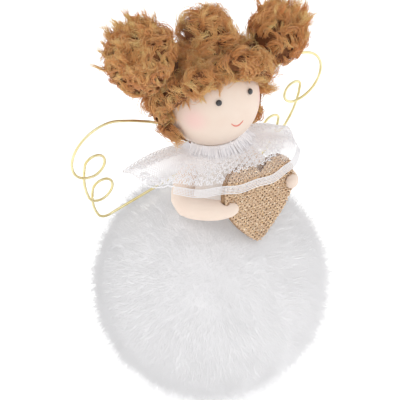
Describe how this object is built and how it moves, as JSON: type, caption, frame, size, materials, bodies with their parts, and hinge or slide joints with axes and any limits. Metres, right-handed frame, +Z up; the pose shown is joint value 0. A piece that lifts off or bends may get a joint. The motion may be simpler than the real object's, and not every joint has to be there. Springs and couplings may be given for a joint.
{
  "type": "fairy ornament",
  "caption": "Fairy ornament: a fur ball skirt, a stuffed head with yarn buns, a lace collar, arms holding a glitter heart, and bent wire wings that swing on the back.",
  "frame": {"origin": "under the middle of the fur ball, on the surface that the ornament stands on", "axes": "+Z up, the face looks along -Y, the fairy's right hand is on the -X side"},
  "size_m": [0.1, 0.0748, 0.1455],
  "materials": {
    "base_felt": "white felt, matte",
    "stuffing": "white fibre wadding",
    "white_fur": "long soft white faux fur",
    "dowel_wood": "plain sanded wood",
    "white_cotton": "white cotton, matte",
    "skin_knit": "smooth fine knit, matte",
    "eye_bead": "dark grey, satin",
    "hair_yarn": "fuzzy light brown boucle yarn",
    "tie_elastic": "brown elastic",
    "heart_card": "tan card",
    "glitter_cloth": "gold glitter weave with bright flecks",
    "white_lace": "sheer white lace with a woven edge",
    "gold_wire": "polished pale gold"
  },
  "bodies": {
    "fairy": {"base_disc": "base_felt", "ball_core": "stuffing", "fur_cover": "white_fur", "neck_dowel": "dowel_wood", "torso": "white_cotton", "head": "skin_knit", "eye_left": "eye_bead", "eye_right": "eye_bead", "hair_cap": "hair_yarn", "hair_crown": "hair_yarn", "hair_bun_left": "hair_yarn", "hair_bun_right": "hair_yarn", "hair_fringe_left": "hair_yarn", "hair_fringe_right": "hair_yarn", "hair_lock_left": "hair_yarn", "hair_lock_right": "hair_yarn", "bun_tie_left": "tie_elastic", "bun_tie_right": "tie_elastic", "heart_board": "heart_card", "heart_cloth": "glitter_cloth", "arm_left": "skin_knit", "arm_right": "skin_knit", "lace_collar": "white_lace", "collar_hem": "white_lace", "gather_thread": "white_lace", "wing_patch": "base_felt"},
    "wing_left": {"wing_left": "gold_wire"},
    "wing_right": {"wing_right": "gold_wire"}
  },
  "joints": [
    {"name": "wing_left_fold", "type": "hinge", "parent": "fairy", "child": "wing_left", "pos_m": [-0.0026, 0.01075, 0.0866], "axis": [0, 0.2079, -0.9781], "range_deg": [-8, 30]},
    {"name": "wing_right_fold", "type": "hinge", "parent": "fairy", "child": "wing_right", "pos_m": [0.0026, 0.01075, 0.0866], "axis": [0, -0.2079, 0.9781], "range_deg": [-8, 30]}
  ]
}
